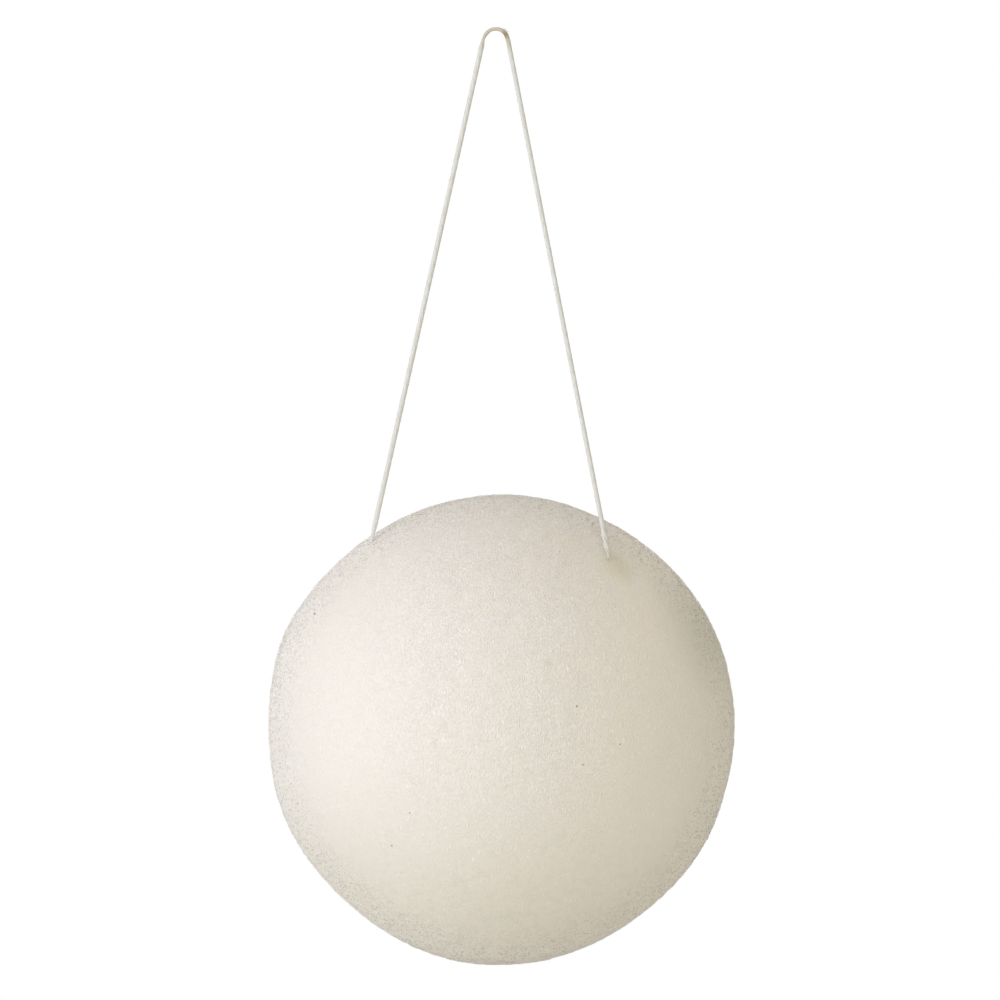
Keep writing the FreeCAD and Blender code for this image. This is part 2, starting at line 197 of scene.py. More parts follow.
# What tints the gel, in this order: a share's name, its strength and its colour.
GEL_TINTS = [
    ("wet", 1.0, GEL_WET),
    # A painted warm shade, yellower and darker towards the low end.
    ("low", 0.3, LOW_SHADE_COLOUR),
    ("cloud", 0.09, PORE_COLOUR),
    # Pale raised flecks of the gel, painted near-white so that they also stand for glints.
    ("bright", 0.9, FLECK_AND_GLINT_COLOUR),
    ("dim", 0.14, PORE_COLOUR),
    # Pores of the rim: real pits in the relief, and their dark colour a painted shade in their hollows.
    ("pore", 0.68, PORE_COLOUR),
    # A painted shade in a thin band along the rim's outline.
    ("rim", 0.30, RIM_SHADE_COLOUR),
    # Tiny painted glints: near-white dots painted into the colour.
    ("sparkle", 0.9, PAINTED_GLINT_COLOUR),
    # Glints at the upper rim, painted near-white into the colour; the gel is also glossier there.
    ("glint", 1.0, PAINTED_GLINT_COLOUR),
]
# Dark plant specks in the dome: across, up and radius. Drawn out in depth, they meet the skin.
SPECK_SQUEEZE = (1.0, 0.12, 1.0)
SPECK_CORE = 0.4
SPECK_TINT = 0.7
SPECKS = [
    (0.01367, -0.11280, 0.00024),
    (0.01469, -0.12267, 0.00021),
    (0.02101, -0.11926, 0.00019),
    (-0.03085, -0.09738, 0.00030),
    (-0.01455, -0.13086, 0.00018),
    (-0.01762, -0.13649, 0.00021),
]
# Darker places: across, up, radius, strength and colour.
HALOS = {
    "right_mouth": (0.0203, -0.0894, 0.0054, 0.55, HALO_COLOUR),
    # A painted shade over the upper right of the rim.
    "right_rim": (0.0350, -0.1005, 0.0150, 0.52, SHADE_COLOUR),
    "spot": (0.0089, -0.1056, 0.0011, 0.22, SHADE_COLOUR),
}
# Widths of the rim's pores and of its edge of painted shade, as they show from the front.
PORE_BAND = 0.0072
SHADED_EDGE_BAND = 0.0010
# Where the gel is dry, low, high or in front: heights and widths in millimetres, shares of the rim's radius.
DRY_HEIGHTS = (-150.0, -112.0)
DRY_LOW = 0.45
DRY_WIDTHS = (8.0, 28.0)
DRY_SIDE = 0.5
DRY_PORES = 0.1
LOW_HEIGHTS = (-126.0, -152.0)
HIGH_HEIGHTS = (-135.0, -90.0)
HIGH_LEAST = 0.15
FRONT_SHARES = (0.7, 1.5)
FRONT_LEAST = 0.2
# The gel's dots: cells a millimetre, then the distances and the chances between which a dot comes up.
BRIGHT_DOTS = (1.2, (0.40, 0.26), (0.5, 0.9))
DIM_DOTS = (1.2, (0.36, 0.22), (0.35, 0.1))
PORE_DOTS = (2.7, (0.42, 0.26), (0.4, 0.75))
SPARKLE_DOTS = (0.45, (0.085, 0.045), None)
# The glint dots make the gel glossier and also carry painted glints in its colour.
GLINT_DOTS = (1.8, (0.36, 0.2), (0.35, 0.6))
# How the gel's fibres and pores lean, stretch and swirl.
GEL_FIBRE_TURN = (0.0, math.radians(20), 0.0)
GEL_FIBRE_STRETCH = (1.8, 1.0, 0.8)
PORE_TURN = (0.5, 0.6, 0.7)
PORE_STRETCH = (1.0, 1.0, 1.0)
SWIRL_SCALE = 0.3
SWIRL_DETAIL = 1.0
SWIRL_REACH = 1.6
# The gel's grain, its wet mottles and its clouds: scale, detail and the range that is used.
GEL_GRAIN_SCALE = 3.0
GEL_GRAIN_DETAIL = 1.5
GEL_GRAIN_RANGE = (0.2, 0.8)
MOTTLE_SCALE = 0.12
MOTTLE_DETAIL = 2.0
MOTTLE_RANGE = (0.3, 0.8)
WET_SHARES = (1.3, 1.1)
CLOUD_SCALE = 0.8
CLOUD_DETAIL = 2.0
CLOUD_RANGE = (0.45, 0.7)
# The gel's fine relief, and how it takes the light.
RELIEF_HEIGHT = 0.00018
FLECK_RELIEF = 0.5
PORE_RELIEF = -0.9
GEL_ROUGHNESS = 0.45
GLINT_ROUGHNESS = 0.20
GEL_GLOSS = 0.2
GLINT_GLOSS = 1.0
SUBSURFACE_WEIGHT = 0.3
SUBSURFACE_RADIUS = (1.0, 0.8, 0.55)
SUBSURFACE_SCALE = 0.003

# The cotton's colours and fibres.
COTTON_DEEP = (0.655, 0.64, 0.575, 1.0)
COTTON_PALE = (0.76, 0.745, 0.695, 1.0)
COTTON_STRETCH = (1.0, 1.0, 0.10)
COTTON_SCALE = 5.0
COTTON_DETAIL = 2.0
COTTON_RANGE = (0.3, 0.7)
COTTON_ROUGHNESS = 0.85
COTTON_SHEEN = 0.1
# A hook's stain on the bight, the place that it has rubbed, and the wet end at the right mouth.
STAIN_COLOUR = (0.53, 0.45, 0.315, 1.0)
STAIN_MIDDLE = (0.0003, 0.0, 0.0016)
STAIN_RADIUS = 0.0052
STAIN_CORE = 0.3
STAIN_TINT = 0.75
RUB_COLOUR = (0.27, 0.19, 0.09, 1.0)
RUB_MIDDLE = (0.0014, -0.0006, 0.0011)
RUB_RADIUS = 0.0012
RUB_TINT = 0.95
WET_COTTON_COLOUR = (0.66, 0.62, 0.46, 1.0)
WET_RADIUS = 0.0040
WET_TINT = 0.7

# Lamps: place, power and colour. The one behind lights only the flat back.
LAMPS = {
    "key_left": ((-1.0, -0.35, -0.10), 4.45, (0.735, 0.85, 1.0)),
    "front": ((0.0, -1.1, -0.10), 4.7, (0.90, 0.935, 1.0)),
    "top_left": ((-0.6, -0.6, 0.65), 3.1, (0.64, 0.60, 1.0)),
    "top": ((-0.30, -0.15, 1.0), 0.65, (0.95, 0.96, 1.0)),
    "back": ((0.0, 1.2, -0.10), 3.0, (0.85, 0.90, 1.0)),
}
LAMP_SIZE = 0.7
AMBIENT_STRENGTH = 0.47
AMBIENT_COLOUR = (1.0, 0.95, 0.74, 1.0)

# A pale floor well below the sponge.
FLOOR_DROP = 0.10
FLOOR_RADIUS = 0.7
FLOOR_SIDES = 96
FLOOR_COLOUR = (0.8, 0.8, 0.8, 1.0)
FLOOR_GLOW = 0.35
# The distances from the floor's middle between which it fades.
FLOOR_FADE = (0.25, 0.665)
WHITE = (1.0, 1.0, 1.0, 1.0)


def unit(vector):
    return vector / np.linalg.norm(vector)


def ease(value, low, high):
    """Zero at low and one at high, smoothly."""
    share = np.clip((value - low) / (high - low), 0.0, 1.0)
    return share * share * (3 - 2 * share)


def hump(value, middle, half_width):
    return np.exp(-(((value - middle) / half_width) ** 2))


def node_points(name):
    mesh = frame["nodes"][name].data
    points = np.empty(len(mesh.vertices) * 3)
    mesh.vertices.foreach_get("co", points)
    return points.reshape(-1, 3)


class Channel:
    """The straight way of the cord through the sponge, on which the sponge swings."""

    def __init__(self):
        swing = frame["joints"][0]
        self.middle = np.array(swing["pos_m"])
        self.along = unit(np.array(swing["axis"]))
        upright = np.array((0.0, 0.0, 1.0))
        self.up = unit(upright - self.along * (upright @ self.along))
        self.aside = np.cross(self.up, self.along)
        reach = (node_points("right_cord_end") - self.middle) @ self.along
        self.stub = reach.max()
        self.mouth = self.stub + STUB_LENGTH

    def at(self, along, aside=0.0, up=0.0):
        return self.middle + self.along * along + self.aside * aside + self.up * up

    def in_loop(self, across, above):
        """The point of the loop's plane that shows at a place of the front view, from the hook."""
        return np.array((across, -(self.aside[0] * across + self.aside[2] * above) / self.aside[1], above))


channel = Channel()


def smooth_line(name, points, step):
    """Points every step along the smooth line of a route, from the route's control points."""
    curve = bpy.data.curves.new(name, "CURVE")
    curve.dimensions = "3D"
    curve.resolution_u = CURVE_RESOLUTION
    spline = curve.splines.new("NURBS")
    spline.points.add(len(points) - 1)
    for control, point in zip(spline.points, points):
        control.co = (*point, 1.0)
    spline.order_u = CURVE_ORDER
    spline.use_endpoint_u = True
    carrier = bpy.data.objects.new(name, curve)
    mesh = bpy.data.meshes.new_from_object(carrier)
    line = np.array([vertex.co for vertex in mesh.vertices])
    bpy.data.objects.remove(carrier)
    bpy.data.curves.remove(curve)
    bpy.data.meshes.remove(mesh)
    lengths = np.concatenate(([0.0], np.cumsum(np.linalg.norm(np.diff(line, axis=0), axis=1))))
    places = np.linspace(0.0, lengths[-1], round(lengths[-1] / step) + 1)
    return np.column_stack([np.interp(places, lengths, line[:, axis]) for axis in range(3)])


def places_along(line):
    return np.arange(len(line)) * np.linalg.norm(line[1] - line[0])


def cross_directions(line):
    """Two directions across a line at each of its points, which turn as little as they can."""
    ahead = np.gradient(line, axis=0)
    ahead /= np.linalg.norm(ahead, axis=1)[:, None]
    side = np.empty_like(line)
    side[0] = unit(np.cross(ahead[0], channel.aside))
    for i in range(1, len(line)):
        side[i] = unit(side[i - 1] - ahead[i] * (side[i - 1] @ ahead[i]))
    return side, np.cross(ahead, side)


def tube(verts, faces, rings):
    """Adds a closed tube through rings of points to the lists of a mesh."""
    count, sides, _ = rings.shape
    start = len(verts)
    verts.extend(map(tuple, rings.reshape(-1, 3)))
    for ring in range(count - 1):
        for side in range(sides):
            after = (side + 1) % sides
            low = start + ring * sides
            faces.append((low + side, low + after, low + sides + after, low + sides + side))
    first = len(verts)
    verts.append(tuple(rings[0].mean(axis=0)))
    verts.append(tuple(rings[-1].mean(axis=0)))
    last_ring = start + (count - 1) * sides
    for side in range(sides):
        after = (side + 1) % sides
        faces.append((start + after, start + side, first))
        faces.append((last_ring + side, last_ring + after, first + 1))


def round_rings(line, radii, sides):
    side, other = cross_directions(line)
    around = np.linspace(0.0, 2 * math.pi, sides, endpoint=False)
    return (
        line[:, None, :]
        + (radii[:, None] * np.cos(around))[:, :, None] * side[:, None, :]
        + (radii[:, None] * np.sin(around))[:, :, None] * other[:, None, :]
    )


def add_strands(verts, faces, line, thickness, apart):
    """The strands of a laid cord along a line, each with its yarns, by how thick and far apart they are."""
    side, other = cross_directions(line)
    places = places_along(line)
    around = np.linspace(0.0, 2 * math.pi, STRAND_SIDES, endpoint=False)
    for strand in range(STRANDS):
        turn = 2 * math.pi * (strand / STRANDS - places / STRAND_LAY)
        out = np.cos(turn)[:, None] * side + np.sin(turn)[:, None] * other
        across = np.cos(turn)[:, None] * other - np.sin(turn)[:, None] * side
        yarn = YARNS * (around[None, :] - 2 * math.pi * places[:, None] / YARN_LAY)
        swell = thickness[:, None] * (1 + YARN_RELIEF * np.cos(yarn))
        middle = line + out * (STRAND_REACH * thickness * apart)[:, None]
        deep = STRAND_DEPTH * swell * np.cos(around)
        wide = STRAND_WIDTH * swell * np.sin(around) / np.sqrt(apart)[:, None]
        rings = middle[:, None, :] + deep[:, :, None] * out[:, None, :]
        rings += wide[:, :, None] * across[:, None, :]
        tube(verts, faces, rings)


def add_fibre(verts, faces, root, along, out, length, radius):
    """One fibre that leaves the cord and bends back along it."""
    share = np.linspace(0.0, 1.0, FIBRE_STEPS)
    lift = out[None, :] * np.sin(share * math.pi * FIBRE_BEND)[:, None]
    line = root + length * (FIBRE_ALONG * share[:, None] * along[None, :] + FIBRE_LIFT * lift)
    tube(verts, faces, round_rings(line, radius * (1 - FIBRE_TAPER * share), FIBRE_SIDES))


def add_fibres(verts, faces, line):
    """Loose fibres here and there along the cord, and a small tuft where the bight is rubbed."""
    chance = random.Random(FIBRE_SEED)
    side, other = cross_directions(line)
    ahead = np.gradient(line, axis=0)
    top = int(np.argmax(line[:, 2]))
    end = round(NECK_END / RING_STEP)
    tuft = top + round(TUFT_PLACE / RING_STEP)
    rows = [(chance.randrange(end, len(line) - end), False) for _ in range(FIBRES)]
    rows += [(tuft + chance.randrange(-TUFT_SCATTER, TUFT_SCATTER + 1), True) for _ in range(TUFT_FIBRES)]
    for row, in_tuft in rows:
        turn = chance.uniform(-TUFT_TURN, TUFT_TURN) if in_tuft else chance.uniform(0.0, 2 * math.pi)
        out = math.cos(turn) * side[row] + math.sin(turn) * other[row]
        if in_tuft and out[2] < 0:
            out = -out
        way = unit(ahead[row]) * chance.choice((-1.0, 1.0))
        length = chance.uniform(*FIBRE_LENGTHS)
        root = line[row] + out * CORD_DIAMETER * FIBRE_ROOT
        radius = FIBRE_RADIUS * TUFT_THICKNESS if in_tuft else FIBRE_RADIUS
        add_fibre(verts, faces, root, way, out, length, radius)


def mesh_piece(name, verts, faces, material):
    mesh = bpy.data.meshes.new(name)
    mesh.from_pydata(verts, [], faces)
    mesh.shade_smooth()
    mesh.materials.append(material)
    piece = bpy.data.objects.new(name, mesh)
    bpy.context.scene.collection.objects.link(piece)
    return piece


def loop_route():
    """The loop's control points: out of the left mouth, over the hook and into the right mouth."""
    bight = [channel.in_loop(across, above) for across, above in BIGHT_POINTS]
    left_mouth, right_mouth = channel.at(-channel.mouth), channel.at(channel.mouth)
    left_leg = unit(bight[0] - left_mouth)
    right_leg = unit(bight[-1] - right_mouth)
    left_mouth = left_mouth - left_leg * CORNER_DROP
    right_mouth = right_mouth - right_leg * CORNER_DROP
    return [
        channel.at(-channel.stub),
        left_mouth,
        left_mouth + left_leg * LEG_START,
        bight[0] - left_leg * BIGHT_CLEARANCE,
        *bight,
        bight[-1] - right_leg * BIGHT_CLEARANCE,
        right_mouth + right_leg * LEG_START,
        right_mouth,
        channel.at(channel.stub),
    ]


def loop_thickness(line):
    """How thick the loop is along its way: drawn in at the mouths and uneven over the hook."""
    places = places_along(line)
    from_end = np.minimum(places, places[-1] - places)
    thickness = NECK_SHARE + (1 - NECK_SHARE) * ease(from_end, NECK_START, NECK_END)
    from_top = places - places[np.argmax(line[:, 2])]
    thickness *= 1 + LEFT_LEG_SWELL * ease(-from_top, 0.0, BIGHT_CLEARANCE * 2)
    for place, half_length, swell in BIGHT_SWELLS:
        thickness *= 1 + swell * hump(from_top, place, half_length)
    return thickness


def make_hanging_loop(material):
    line = smooth_line("loop_line", loop_route(), RING_STEP)
    verts, faces = [], []
    places = places_along(line)
    apart = 1 + ROPE_RELIEF * ease(places, places[-1] - ROPE_LENGTH, places[-1] - ROPE_LENGTH / 2)
    add_strands(verts, faces, line, loop_thickness(line), apart)
    add_fibres(verts, faces, line)
    loop = mesh_piece("cotton_loop", verts, faces, material)
    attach(loop, "loop")
    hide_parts("hanging_loop")
    return line


def make_cord_end(side, node, name, material):
    """One end of the cord: along the channel, through its half of the reef knot, to its cut tail."""
    start_aside = KNOT_POINT_SHARES[0][1]
    knot = [
        (-side * along * KNOT_PITCH, (aside - start_aside) * KNOT_PITCH, -side * above * KNOT_PITCH)
        for along, aside, above in KNOT_POINT_SHARES
    ]
    tail_along, tail_aside, tail_up = knot[-1]
    tail = (tail_along + side * TAIL_LENGTH, tail_aside, tail_up)
    route = [channel.at(*place) for place in [(side * channel.stub, 0.0, 0.0), *knot, tail]]
    line = smooth_line(name + "_line", route, RING_STEP)
    verts, faces = [], []
    even = np.ones(len(line))
    add_strands(verts, faces, line, even, even)
    end = mesh_piece(name, verts, faces, material)
    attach(end, "loop")
    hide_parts(node)


class SpongeForm:
    """The half-ball's own profile, read from its solid: a dome, a round rim and a flat back."""

    def __init__(self):
        back = next(m for m in frame["record"]["mounts"] if m["name"] == "flat_back")
        self.back = np.array(back["pos_m"])
        self.behind = unit(np.array(back["axis"]))
        upright = np.array((0.0, 0.0, 1.0))
        self.up = unit(upright - self.behind * (upright @ self.behind))
        self.right = np.cross(self.behind, self.up)
        points = node_points("sponge") - self.back
        ahead = -(points @ self.behind)
        out = np.hypot(points @ self.right, points @ self.up)
        self.radius = out.max()
        self.depth = ahead.max()
        self.flat_radius = out[ahead < NEAR_ZERO].max()
        self.rim = self.radius - self.flat_radius
        self.trace()

    def trace(self):
        """The profile from the dome's top to the back's middle, by the share of the skin's area."""
        side = self.flat_radius
        rise = self.depth - self.rim
        # The dome's arc is tangent to the rim's.
        dome = (side**2 + rise**2 - self.rim**2) / (2 * (rise - self.rim))
        meet = math.atan2(side, self.rim - (self.depth - dome))
        angle = np.linspace(0.0, meet, PROFILE_STEPS)
        rim_angle = np.linspace(meet, math.pi, PROFILE_STEPS)
        flat = np.linspace(side, 0.0, PROFILE_STEPS)
        out = np.concatenate((dome * np.sin(angle), side + self.rim * np.sin(rim_angle), flat))
        ahead = np.concatenate(
            (self.depth - dome + dome * np.cos(angle), self.rim + self.rim * np.cos(rim_angle), 0 * flat)
        )
        self.profile_lean = np.concatenate((angle, rim_angle, 0 * flat + math.pi))
        step = np.hypot(np.diff(out), np.diff(ahead))
        area = np.concatenate(([0.0], np.cumsum(step * (out[1:] + out[:-1]))))
        self.profile_share = area / area[-1]
        self.profile_out, self.profile_ahead = out, ahead

    def on_front(self, x, z):
        """The point of the front skin that shows at a place of the front view."""
        front = slice(int(np.argmax(self.profile_out)) + 1)
        point = np.array((x, self.back[1] - self.depth, z))
        for _ in range(FRONT_ROUNDS):
            from_back = point - self.back
            ahead = -(from_back @ self.behind)
            out = np.linalg.norm(from_back + self.behind * ahead)
            point[1] += ahead - np.interp(out, self.profile_out[front], self.profile_ahead[front])
        return point


sponge_form = SpongeForm()


class Skin:
    """The smooth half-ball's points for the points of a unit sphere, with their normals."""

    def __init__(self, ball):
        form = sponge_form
        direction = np.array([vertex.co for vertex in ball.verts])
        share = (1 + direction[:, 1]) / 2
        self.out = np.interp(share, form.profile_share, form.profile_out)
        self.lean = np.interp(share, form.profile_share, form.profile_lean)
        self.around = np.arctan2(direction[:, 2], direction[:, 0])
        ahead = np.interp(share, form.profile_share, form.profile_ahead)
        spoke = np.cos(self.around)[:, None] * form.right + np.sin(self.around)[:, None] * form.up
        self.points = form.back + spoke * self.out[:, None] - form.behind * ahead[:, None]
        self.normal = np.sin(self.lean)[:, None] * spoke - np.cos(self.lean)[:, None] * form.behind

    def from_mouth(self, side):
        return np.linalg.norm(self.points - channel.at(side * channel.mouth), axis=1)


def even_sphere(count):
    """A unit sphere of four-sided faces of nearly one size."""
    ball = bmesh.new()
    bmesh.ops.create_cube(ball, size=2.0)
    bmesh.ops.subdivide_edges(ball, edges=ball.edges, cuts=count - 1, use_grid_fill=True)
    for vertex in ball.verts:
        vertex.co = Vector([math.tan(value * math.pi / 4) for value in vertex.co]).normalized()
    return ball


def split_faces(ball, chosen):
    """Halves the edges at the chosen points of a unit sphere."""
    near = [vertex for vertex, wanted in zip(ball.verts, chosen) if wanted]
    edges = {edge for vertex in near for edge in vertex.link_edges}
    bmesh.ops.subdivide_edges(ball, edges=list(edges), cuts=1, use_grid_fill=True)
    bmesh.ops.triangulate(ball, faces=[face for face in ball.faces if len(face.verts) > 4])
    for vertex in ball.verts:
        vertex.co.normalize()


def refine(ball):
    """Smaller faces along the outline and, twice over, round the two mouths."""
    split_faces(ball, np.abs(Skin(ball).lean - math.pi / 2) < EDGE_ANGLE)
    for share in REFINED_SHARES:
        skin = Skin(ball)
        from_mouths = np.minimum(skin.from_mouth(-1), skin.from_mouth(1))
        split_faces(ball, from_mouths < REFINED_RADIUS * share)


def swell_of(angle):
    """How far the outline stands out or in at an angle from the right."""
    height = np.zeros_like(angle)
    for middle, rise, half_width in RIM_SWELLS:
        away = (np.degrees(angle) - middle + 180) % 360 - 180
        height += rise * hump(away, 0.0, half_width)
    return height


def noise_at(points, spacing, seed):
    shift = Vector((seed, -seed, 2 * seed))
    return np.array([noise.noise(Vector(point) / spacing + shift) for point in points])


def shape_sponge(ball):
    """Moves a sphere's points onto the half-ball's skin, with its swells, lumps, grain and mouths."""
    skin = Skin(ball)
    height = swell_of(skin.around) * (skin.out / sponge_form.radius) ** SWELL_POWER
    height += LUMP_HEIGHT * noise_at(skin.points, LUMP_SPACING, LUMP_SEED)
    grain = noise_at(skin.points, GRAIN_SPACING, GRAIN_SEED)
    fine_grain = noise_at(skin.points, GRAIN_SPACING / 2, FINE_GRAIN_SEED)
    height += GRAIN_HEIGHT * (grain + FINE_GRAIN_SHARE * fine_grain)
    edge = hump(skin.lean, math.pi / 2, EDGE_ANGLE)
    height += EDGE_GRAIN_HEIGHT * edge * noise_at(skin.points, EDGE_GRAIN_SPACING, EDGE_GRAIN_SEED)
    on_back = skin.lean > math.pi - NEAR_ZERO
    height -= BACK_SAG * on_back * (1 - (skin.out / sponge_form.flat_radius) ** 2) ** 2
    for side, lift in MOUTH_LIFTS.items():
        height += lift * hump(skin.from_mouth(side), 0.0, LIFT_RADIUS)
    for vertex, point in zip(ball.verts, skin.points + skin.normal * height[:, None]):
        vertex.co = point


def channel_cutter():
    """The cord's way through the sponge: a round bore with a coned pocket for the knot."""
    widen = POCKET_RADIUS - CHANNEL_RADIUS
    half = [
        (channel.stub, CHANNEL_RADIUS),
        (POCKET_HALF_LENGTH + widen, CHANNEL_RADIUS),
        (POCKET_HALF_LENGTH, POCKET_RADIUS),
    ]
    stations = half + [(-along, radius) for along, radius in reversed(half)]
    line = np.array([channel.at(along) for along, _ in stations])
    verts, faces = [], []
    tube(verts, faces, round_rings(line, np.array([radius for _, radius in stations]), CHANNEL_SIDES))
    return verts, faces


def entry_cutter(line):
    """The tight way of the cord from a mouth to the channel, round the first stretch of a line."""
    stretch = line[: round(ENTRY_LENGTH / RING_STEP)]
    verts, faces = [], []
    tube(verts, faces, round_rings(stretch, np.full(len(stretch), ENTRY_RADIUS), CHANNEL_SIDES))
    return verts, faces


def bore_channel(piece, cutter):
    bore = piece.modifiers.new("channel", "BOOLEAN")
    bore.operation = "DIFFERENCE"
    bore.solver = "EXACT"
    bore.object = cutter
    depsgraph = bpy.context.evaluated_depsgraph_get()
    bored = bpy.data.meshes.new_from_object(piece.evaluated_get(depsgraph))
    piece.modifiers.clear()
    piece.data = bored


def make_sponge(material, cord_line):
    ball = even_sphere(PATCH_FACES)
    refine(ball)
    shape_sponge(ball)
    mesh = bpy.data.meshes.new("half_ball")
    ball.to_mesh(mesh)
    ball.free()
    sponge = bpy.data.objects.new("half_ball", mesh)
    bpy.context.scene.collection.objects.link(sponge)
    for verts, faces in (channel_cutter(), entry_cutter(cord_line), entry_cutter(cord_line[::-1])):
        cutter = mesh_piece("cutter", verts, faces, material)
        bore_channel(sponge, cutter)
        bpy.data.objects.remove(cutter)
    sponge.data.shade_smooth()
    sponge.data.materials.clear()
    sponge.data.materials.append(material)
    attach(sponge, "sponge_body")
    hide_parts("sponge")


class Nodes:
    """A node tree, with short ways to add and join nodes."""

    def __init__(self, tree):
        self.tree = tree

    def add(self, kind, **inputs):
        node = self.tree.nodes.new(kind)
        for name, value in inputs.items():
            self.put(node, name.replace("_", " "), value)
        return node

    def put(self, node, socket, value):
        if isinstance(value, bpy.types.NodeSocket):
            self.tree.links.new(value, node.inputs[socket])
        else:
            node.inputs[socket].default_value = value

    def math(self, operation, *values):
        node = self.tree.nodes.new("ShaderNodeMath")
        node.operation = operation
        for index, value in enumerate(values):
            self.put(node, index, value)
        return node.outputs[0]

    def product(self, first, *others):
        for other in others:
            first = self.math("MULTIPLY", first, other)
        return first

    def vector(self, operation, *values):
        node = self.tree.nodes.new("ShaderNodeVectorMath")
        node.operation = operation
        for index, value in enumerate(values):
            self.put(node, index, value)
        is_number = operation in ("LENGTH", "DISTANCE", "DOT_PRODUCT")
        return node.outputs["Value" if is_number else "Vector"]

    def mix(self, factor, first, second):
        node = self.tree.nodes.new("ShaderNodeMix")
        node.data_type = "RGBA"
        places = [socket.identifier for socket in node.inputs]
        for name, value in (("Factor_Float", factor), ("A_Color", first), ("B_Color", second)):
            self.put(node, places.index(name), value)
        return next(socket for socket in node.outputs if socket.identifier == "Result_Color")

    def tint(self, colour, share, strength, other):
        """A colour, with some of another one where a share is high."""
        return self.mix(self.product(share, strength), colour, other)

    def spread(self, value, low, high, start=0.0, end=1.0):
        """From start at a low value to end at a high one, smoothly."""
        node = self.add("ShaderNodeMapRange", Value=value)
        node.interpolation_type = "SMOOTHSTEP"
        for name, number in (("From Min", low), ("From Max", high), ("To Min", start), ("To Max", end)):
            node.inputs[name].default_value = number
        return node.outputs["Result"]

    def near(self, place, point, outer, inner):
        """One within an inner distance of a point, and zero past an outer one."""
        away = self.vector("DISTANCE", place, in_millimetres(point))
        return self.spread(away, MILLIMETRES * outer, MILLIMETRES * inner)

    def noise(self, place, scale, detail, output="Fac"):
        return self.add("ShaderNodeTexNoise", Vector=place, Scale=scale, Detail=detail).outputs[output]

    def dots(self, place, scale, sizes, chances):
        """Scattered dots: one in the middles of the cells that their own chance numbers pick."""
        cells = self.add("ShaderNodeTexVoronoi", Vector=place, Scale=scale, Randomness=1.0)
        dot = self.spread(cells.outputs["Distance"], *sizes)
        if chances is None:
            return dot
        chance = self.add("ShaderNodeSeparateColor", Color=cells.outputs["Color"]).outputs["Red"]
        return self.product(dot, self.spread(chance, *chances))

    def millimetres(self):
        coords = self.add("ShaderNodeTexCoord")
        return self.vector("MULTIPLY", coords.outputs["Object"], in_millimetres((1.0, 1.0, 1.0)))


class Material(Nodes):
    """A material's nodes, with its main shader."""

    def __init__(self, name):
        self.material = bpy.data.materials.new(name)
        self.material.use_nodes = True
        super().__init__(self.material.node_tree)
        self.shader = self.tree.nodes["Principled BSDF"]

    def shade(self, **inputs):
        for name, value in inputs.items():
            self.put(self.shader, name.replace("_", " "), value)


def in_millimetres(point):
    return [MILLIMETRES * value for value in point]


def dryness(gel, place):
    """The share of dry, grainy skin: the middle and the top are drier than the sides and the low end."""
    parts = gel.add("ShaderNodeSeparateXYZ", Vector=place)
    high = gel.spread(parts.outputs["Z"], *DRY_HEIGHTS, DRY_LOW, 1.0)
    inside = gel.spread(gel.math("ABSOLUTE", parts.outputs["X"]), *DRY_WIDTHS, 1.0, DRY_SIDE)
    return gel.product(high, inside)


def low_share(gel, place):
    """One at the sponge's low end, where the gel is painted a warm, darker shade, and zero above it."""
    parts = gel.add("ShaderNodeSeparateXYZ", Vector=place)
    return gel.spread(parts.outputs["Z"], *LOW_HEIGHTS)


def high_share(gel, place):
    """One at the sponge's top, and little at its low end."""
    parts = gel.add("ShaderNodeSeparateXYZ", Vector=place)
    return gel.spread(parts.outputs["Z"], *HIGH_HEIGHTS, HIGH_LEAST, 1.0)


def rim_share(gel, place, width):
    """One at the rim, and zero past a distance inside it."""
    from_back = gel.vector("SUBTRACT", place, in_millimetres(sponge_form.back))
    away = gel.vector("LENGTH", gel.vector("CROSS_PRODUCT", from_back, list(sponge_form.behind)))
    return gel.spread(away, MILLIMETRES * (sponge_form.radius - width), MILLIMETRES * sponge_form.radius)


def front_share(gel, place):
    """One in front of the sponge's widest place, and little behind it."""
    from_back = gel.vector("SUBTRACT", place, in_millimetres(sponge_form.back))
    ahead = gel.vector("DOT_PRODUCT", from_back, list(-sponge_form.behind))
    low, high = (MILLIMETRES * sponge_form.rim * share for share in FRONT_SHARES)
    return gel.spread(ahead, low, high, FRONT_LEAST, 1.0)


def slanted(gel, place, turn, stretch):
    """A place for the gel's fibres and pores, which lean over and swirl."""
    swirl = gel.noise(place, SWIRL_SCALE, SWIRL_DETAIL, "Color")
    bent = gel.vector("MULTIPLY_ADD", swirl, [SWIRL_REACH] * 3, place)
    return gel.add("ShaderNodeMapping", Vector=bent, Rotation=turn, Scale=stretch).outputs["Vector"]


